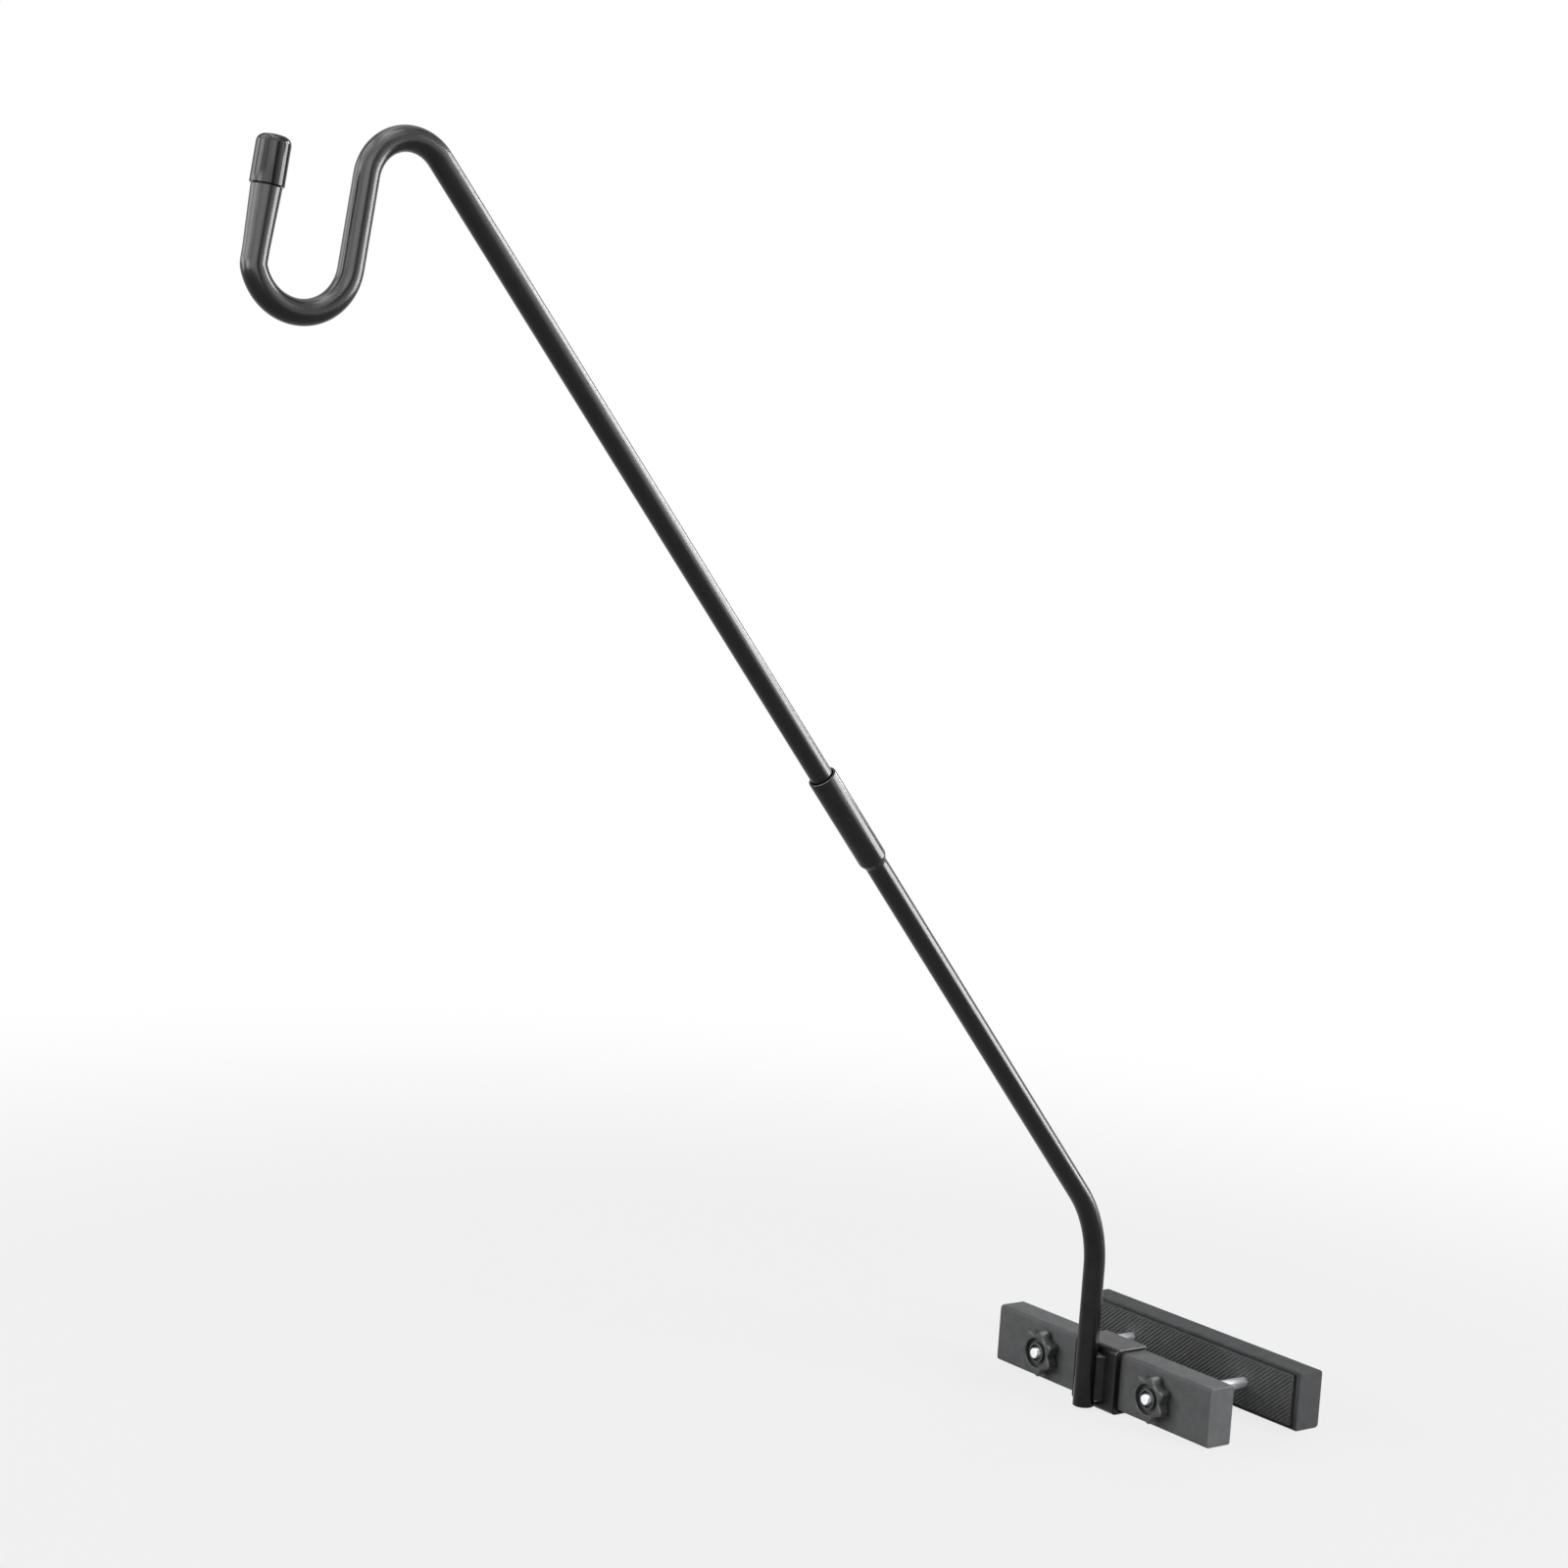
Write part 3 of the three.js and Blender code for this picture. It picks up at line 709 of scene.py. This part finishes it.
class Surface:
    """A procedural material: mottled colour, uneven gloss and a fine relief."""

    def __init__(self, name, metallic=0.0, specular=0.5):
        self.material = bpy.data.materials.new(name)
        self.material.use_nodes = True
        self.nodes = self.material.node_tree.nodes
        self.links = self.material.node_tree.links
        self.shader = self.nodes["Principled BSDF"]
        self.shader.inputs["Metallic"].default_value = metallic
        self.shader.inputs["Specular IOR Level"].default_value = specular
        self.place = self.nodes.new("ShaderNodeTexCoord").outputs["Object"]

    def noise(self, size, detail):
        """Smooth noise whose features are about this many metres across."""
        texture = self.nodes.new("ShaderNodeTexNoise")
        texture.inputs["Scale"].default_value = 1 / size
        texture.inputs["Detail"].default_value = detail
        self.links.new(self.place, texture.inputs["Vector"])
        return texture.outputs["Fac"]

    def spread(self, value, low, high):
        """A noise value spread over a new range."""
        ranged = self.nodes.new("ShaderNodeMapRange")
        self.links.new(value, ranged.inputs["Value"])
        ranged.inputs["From Min"].default_value = NOISE_RANGE[0]
        ranged.inputs["From Max"].default_value = NOISE_RANGE[1]
        ranged.inputs["To Min"].default_value = low
        ranged.inputs["To Max"].default_value = high
        return ranged.outputs["Result"]

    def colours(self, first, second, size):
        """Mottles the colour between two screen colours."""
        mix = self.nodes.new("ShaderNodeMix")
        mix.data_type = "RGBA"
        mix.inputs["A"].default_value = hex_colour(first)
        mix.inputs["B"].default_value = hex_colour(second)
        self.links.new(self.spread(self.noise(size, MOTTLE_DETAIL), 0, 1), mix.inputs["Factor"])
        self.links.new(mix.outputs["Result"], self.shader.inputs["Base Color"])
        return self

    def gloss(self, low, high, size):
        """Varies the roughness between two values."""
        value = self.spread(self.noise(size, MOTTLE_DETAIL), low, high)
        self.links.new(value, self.shader.inputs["Roughness"])
        return self

    def relief(self, size, depth, detail=2):
        """Adds a bump of a given feature size and depth, in metres."""
        bump = self.nodes.new("ShaderNodeBump")
        bump.inputs["Distance"].default_value = depth
        self.links.new(self.noise(size, detail), bump.inputs["Height"])
        self.links.new(bump.outputs["Normal"], self.shader.inputs["Normal"])
        return self


def make_materials():
    surfaces = {
        "pole_coat": Surface("powder_coat", specular=0.2)
        .colours("0d0d0e", "121213", size=4 * MM)
        .gloss(low=0.2, high=0.26, size=9 * MM)
        .relief(size=2.2 * MM, depth=0.004 * MM),
        "saddle_coat": Surface("saddle_coat", specular=0.2)
        .colours("171818", "1e1f1f", size=4 * MM)
        .gloss(low=0.28, high=0.35, size=9 * MM)
        .relief(size=2 * MM, depth=0.005 * MM),
        "bar_shell": Surface("moulded_bar", specular=0.12)
        .colours("5b5c5d", "646566", size=7 * MM)
        .gloss(low=0.6, high=0.72, size=6 * MM)
        .relief(size=0.35 * MM, depth=0.02 * MM, detail=4),
        # Painted shade: the rear bar is the same moulding as the front bar, coloured darker because
        # its top and end catch less light.
        "rear_shell": Surface("moulded_bar_painted_shade", specular=0.05)
        .colours("4f5051", "58595a", size=7 * MM)
        .gloss(low=0.76, high=0.86, size=6 * MM)
        .relief(size=0.35 * MM, depth=0.02 * MM, detail=4),
        "pad": Surface("rubber_pad", specular=0.15)
        .colours("555657", "5f6060", size=5 * MM)
        .gloss(low=0.7, high=0.85, size=3 * MM)
        .relief(size=0.3 * MM, depth=0.02 * MM, detail=4),
        "knob": Surface("moulded_knob", specular=0.3)
        .colours("3e3f40", "48494a", size=5 * MM)
        .gloss(low=0.4, high=0.52, size=3 * MM)
        .relief(size=0.4 * MM, depth=0.012 * MM, detail=3),
        "cap": Surface("gloss_cap", specular=0.14)
        .colours("090909", "0e0e0e", size=6 * MM)
        .gloss(low=0.10, high=0.15, size=5 * MM)
        .relief(size=3 * MM, depth=0.003 * MM),
        "zinc": Surface("bright_zinc", metallic=0.6)
        .colours("dfe1e3", "ebedef", size=1.6 * MM)
        .gloss(low=0.32, high=0.44, size=1.2 * MM)
        .relief(size=0.5 * MM, depth=0.006 * MM),
        # Painted shade: the insert is coloured near black to stand in for the shade deep in the
        # knob's hub round the bolt.
        "insert": Surface("insert_steel_painted_shade", metallic=1.0)
        .colours("2c2c2d", "3a3a3b", size=1.4 * MM)
        .gloss(low=0.28, high=0.42, size=1.0 * MM)
        .relief(size=0.4 * MM, depth=0.006 * MM),
    }
    return {slot: surface.material for slot, surface in surfaces.items()}


# The studio and the camera


def background_ray(nodes, links):
    """1 for rays that should see the plain background: camera, glossy and transmission rays."""
    path = nodes.new("ShaderNodeLightPath")
    either = path.outputs["Is Camera Ray"]
    for kind in ("Is Glossy Ray", "Is Transmission Ray"):
        more = nodes.new("ShaderNodeMath")
        more.operation = "MAXIMUM"
        links.new(either, more.inputs[0])
        links.new(path.outputs[kind], more.inputs[1])
        either = more.outputs["Value"]
    return either


def make_world():
    world = bpy.data.worlds.new("studio")
    world.use_nodes = True
    nodes, links = world.node_tree.nodes, world.node_tree.links
    background = nodes["Background"]
    background.inputs["Color"].default_value = (1, 1, 1, 1)
    strength = nodes.new("ShaderNodeMapRange")
    links.new(background_ray(nodes, links), strength.inputs["Value"])
    strength.inputs["To Min"].default_value = AMBIENT
    strength.inputs["To Max"].default_value = 1
    links.new(strength.outputs["Result"], background.inputs["Strength"])
    bpy.context.scene.world = world


def make_floor():
    """A pale round floor that turns into the plain background towards its rim."""
    turn = np.linspace(0, 2 * math.pi, ROUND_SIDES, endpoint=False)
    mesh = bpy.data.meshes.new("floor")
    rim = np.c_[FLOOR_RADIUS * np.cos(turn), FLOOR_RADIUS * np.sin(turn), np.zeros(ROUND_SIDES)]
    mesh.from_pydata(rim.tolist(), [], [tuple(range(ROUND_SIDES))])
    floor = bpy.data.objects.new("floor", mesh)
    bpy.context.scene.collection.objects.link(floor)
    floor.location = (STUDIO_CENTRE.x, STUDIO_CENTRE.y, cad_low.z)

    material = bpy.data.materials.new("floor")
    material.use_nodes = True
    nodes, links = material.node_tree.nodes, material.node_tree.links
    paint = nodes["Principled BSDF"]
    paint.inputs["Base Color"].default_value = (*FLOOR_COLOUR, 1)
    paint.inputs["Roughness"].default_value = FLOOR_ROUGHNESS
    paint.inputs["Specular IOR Level"].default_value = 0
    plain = nodes.new("ShaderNodeEmission")
    length = nodes.new("ShaderNodeVectorMath")
    length.operation = "LENGTH"
    links.new(nodes.new("ShaderNodeTexCoord").outputs["Object"], length.inputs[0])
    fade = nodes.new("ShaderNodeMapRange")
    fade.interpolation_type = "SMOOTHSTEP"
    links.new(length.outputs["Value"], fade.inputs["Value"])
    fade.inputs["From Min"].default_value, fade.inputs["From Max"].default_value = FLOOR_FADE
    fade.inputs["To Min"].default_value = FLOOR_GLOW
    share = nodes.new("ShaderNodeMath")
    share.operation = "MULTIPLY"
    links.new(fade.outputs["Result"], share.inputs[0])
    links.new(background_ray(nodes, links), share.inputs[1])
    mix = nodes.new("ShaderNodeMixShader")
    links.new(share.outputs["Value"], mix.inputs["Fac"])
    links.new(paint.outputs["BSDF"], mix.inputs[1])
    links.new(plain.outputs["Emission"], mix.inputs[2])
    links.new(mix.outputs["Shader"], nodes["Material Output"].inputs["Surface"])
    mesh.materials.append(material)


def direction(azimuth, elevation):
    """The unit vector towards an azimuth (0 is in front of the jaws, 90 is +X) and elevation."""
    a, e = math.radians(azimuth), math.radians(elevation)
    return Vector((math.sin(a) * math.cos(e), -math.cos(a) * math.cos(e), math.sin(e)))


def area_light(name, azimuth, elevation, width, height, radiance):
    """A rectangular lamp that faces the middle of the studio from a direction."""
    lamp = bpy.data.lights.new(name, "AREA")
    lamp.shape = "RECTANGLE"
    lamp.size, lamp.size_y = width, height
    lamp.energy = radiance * math.pi * width * height
    obj = bpy.data.objects.new(name, lamp)
    bpy.context.scene.collection.objects.link(obj)
    towards = direction(azimuth, elevation)
    obj.location = STUDIO_CENTRE + towards * LIGHT_DISTANCE
    obj.rotation_mode = "QUATERNION"
    obj.rotation_quaternion = towards.to_track_quat("Z", "Y")
    obj.visible_camera = False
    return obj


def make_lights(bright):
    """Soft lamps that light the object, and cards that only glossy surfaces show."""
    spared = bpy.data.collections.new("spared_by_strong_cards")
    for piece in bright:
        spared.objects.link(piece)
    for member in spared.collection_objects:
        member.light_linking.link_state = "EXCLUDE"
    for azimuth, elevation, radiance in LAMPS:
        area_light(f"lamp_{azimuth}", azimuth, elevation, LAMP_SIZE, LAMP_SIZE, radiance)
    for azimuth, elevation, radiance in FILLS:
        fill = area_light(f"fill_{azimuth}", azimuth, elevation, LAMP_SIZE, LAMP_SIZE, radiance)
        fill.visible_glossy = False
    for elevation, width, height, cards in CARD_ROWS:
        for azimuth, radiance in cards:
            name = f"card_{elevation}_{azimuth}"
            card = area_light(name, azimuth, elevation, width, height, radiance)
            card.visible_diffuse = False
            if radiance > STRONG_CARD:
                card.light_linking.receiver_collection = spared


def make_camera():
    """The camera of the photograph, from its angles and the place of the front bar."""
    back = direction(CAMERA_AZIMUTH, CAMERA_ELEVATION)
    level = Vector((0, 0, 1)).cross(back).normalized()
    upright = back.cross(level)
    roll = math.radians(CAMERA_ROLL)
    right = level * math.cos(roll) + upright * math.sin(roll)
    up = upright * math.cos(roll) - level * math.sin(roll)
    bar_low, bar_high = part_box("front_bar")
    anchor = Vector((0, bar_low.y, (bar_low.z + bar_high.z) / 2))
    aside, below = ((px - IMAGE_PX / 2) / FOCAL_PX * CAMERA_DISTANCE for px in ANCHOR_PX)
    place = anchor + back * CAMERA_DISTANCE - right * aside + up * below
    data = bpy.data.cameras.new("photo_camera")
    data.sensor_width = SENSOR_MM
    data.lens = FOCAL_PX / IMAGE_PX * SENSOR_MM
    camera = bpy.data.objects.new("photo_camera", data)
    bpy.context.scene.collection.objects.link(camera)
    turn = Matrix((right, up, back)).transposed().to_4x4()
    camera.matrix_world = Matrix.Translation(place) @ turn
    bpy.context.scene.camera = camera


# The scene

pole = Pole()
finishes = make_materials()
pieces = [
    (make_lower_pole(pole), "pole_coat"),
    (make_upper_pole(pole), "pole_coat"),
    (make_tip_cap(pole), "cap"),
    (make_saddle(), "saddle_coat"),
    (refined("front_shell", "front_bar", "front_jaw", BAR_EDGE_ROUND), "bar_shell"),
    (refined("rear_shell", "rear_bar", "rear_jaw", BAR_EDGE_ROUND), "rear_shell"),
    (make_pad("front_rib_pad", "front_pad", "front_jaw", 1), "pad"),
    (make_pad("rear_rib_pad", "rear_pad", "rear_jaw", -1), "pad"),
]
for side, sign in (("left", -1), ("right", 1)):
    washer = make_ring(f"{side}_flat_washer", f"{side}_washer", "front_jaw", WASHER_EDGE)
    bush = make_ring(f"{side}_bush", f"{side}_insert", f"{side}_knob", INSERT_EDGE)
    pieces += [
        (make_knob(side), "knob"),
        (make_bolt(side), "zinc"),
        (washer, "zinc"),
        (bush, "insert"),
        (make_weld_bead(side, sign, pole), "pole_coat"),
        (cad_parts[f"{side}_saddle_screw"], "zinc"),
    ]
for obj, finish in pieces:
    obj.data.materials.clear()
    obj.data.materials.append(finishes[finish])

make_world()
make_floor()
make_lights([obj for obj, finish in pieces if finish == "zinc"])
make_camera()
bpy.context.scene.view_settings.view_transform = "Standard"
